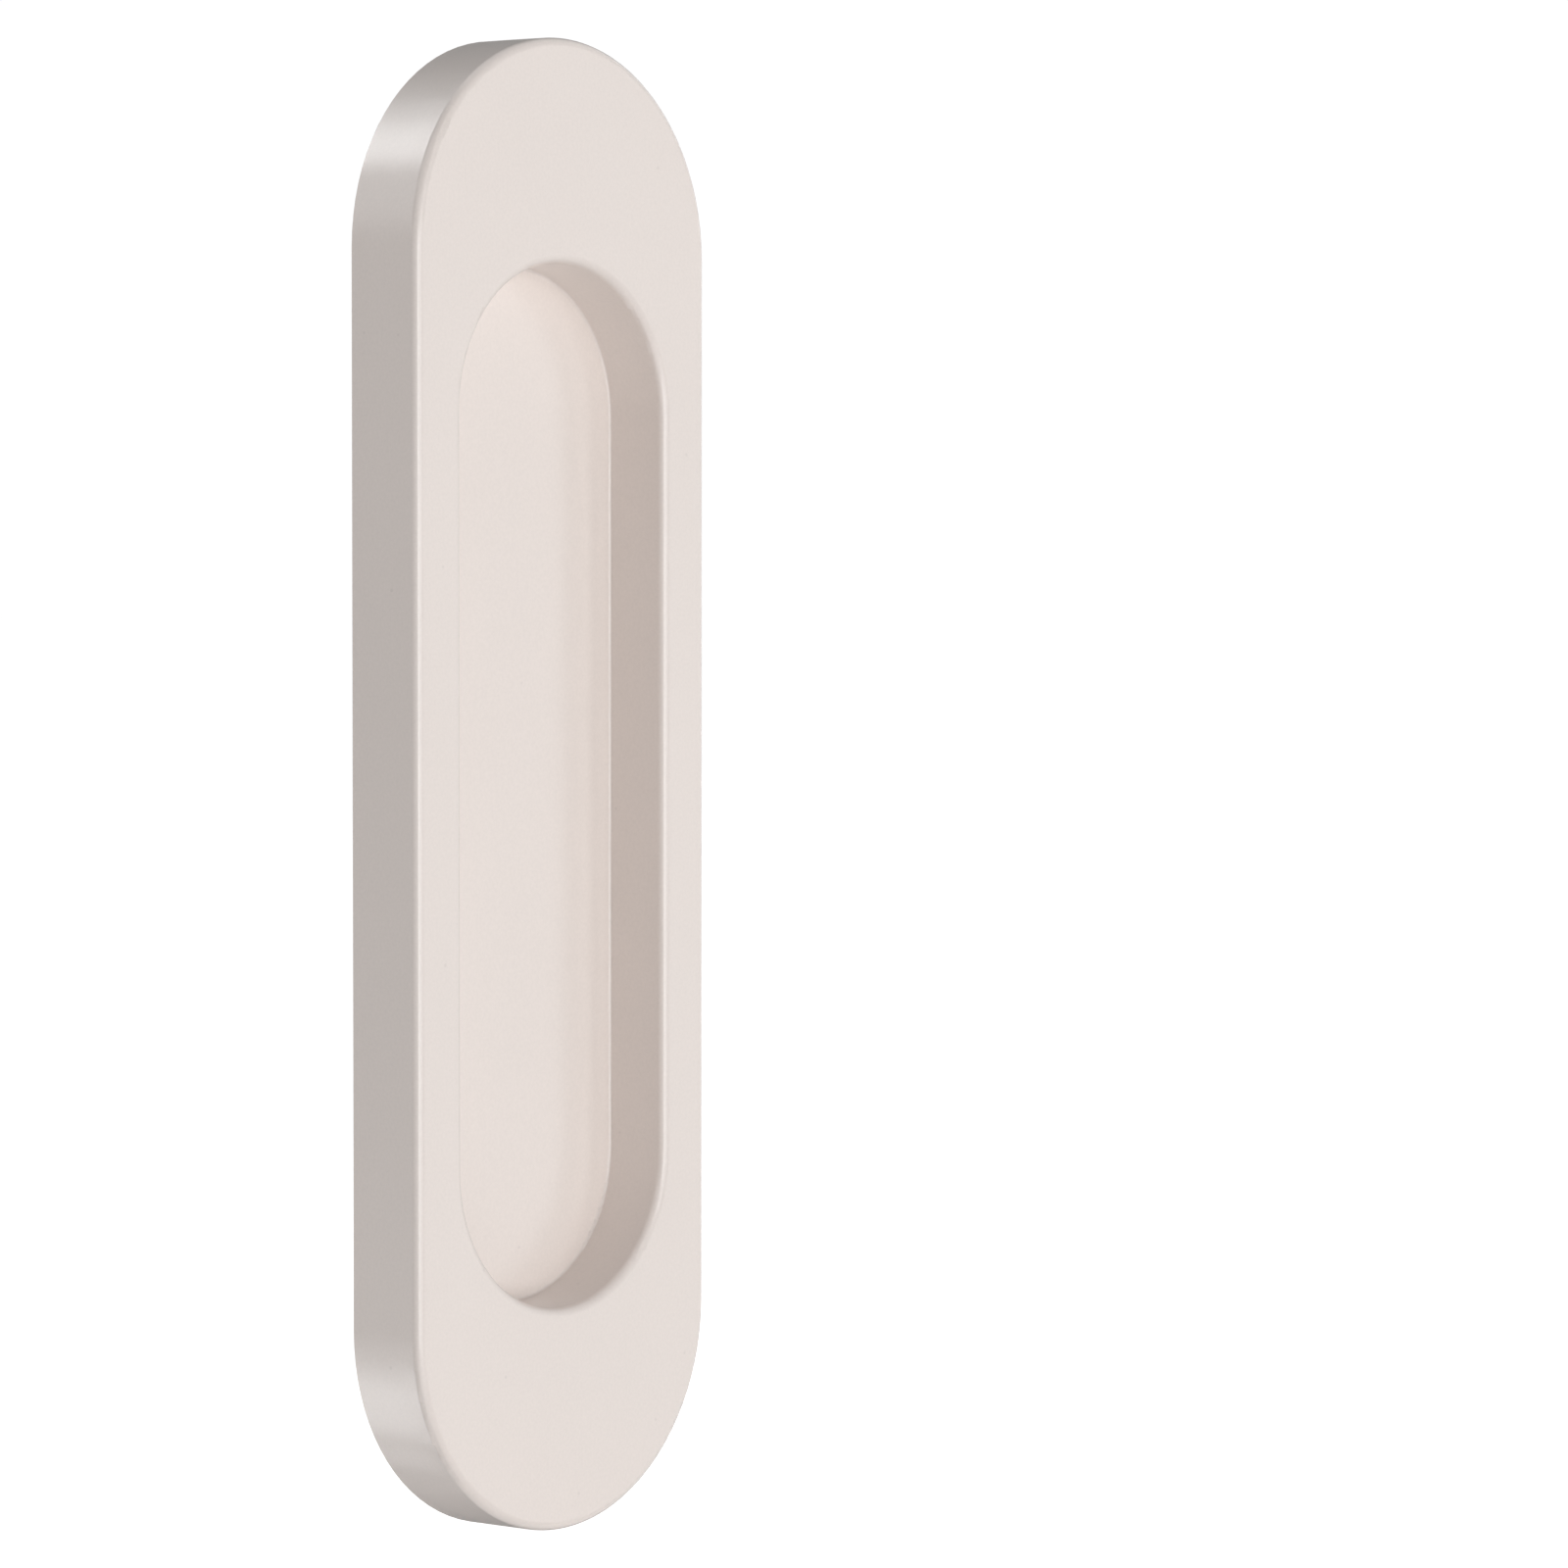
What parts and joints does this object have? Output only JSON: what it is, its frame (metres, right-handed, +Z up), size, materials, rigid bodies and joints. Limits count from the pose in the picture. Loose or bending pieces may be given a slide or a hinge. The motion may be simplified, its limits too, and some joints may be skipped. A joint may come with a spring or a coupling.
{
  "type": "pocket door pull",
  "caption": "Surface-mounted pocket door pull: a round-ended cast plate with a round-ended finger recess and a cored, ribbed back for adhesive mounting.",
  "frame": {"origin": "middle of the back face, which sits on the door", "axes": "+Z up the pull's length, +X to the right as seen from the front, +Y into the door; the front face looks along -Y"},
  "size_m": [0.043, 0.009, 0.15],
  "materials": {
    "satin_nickel": "satin"
  },
  "bodies": {
    "root": {"pull_body": "satin_nickel"}
  },
  "joints": []
}
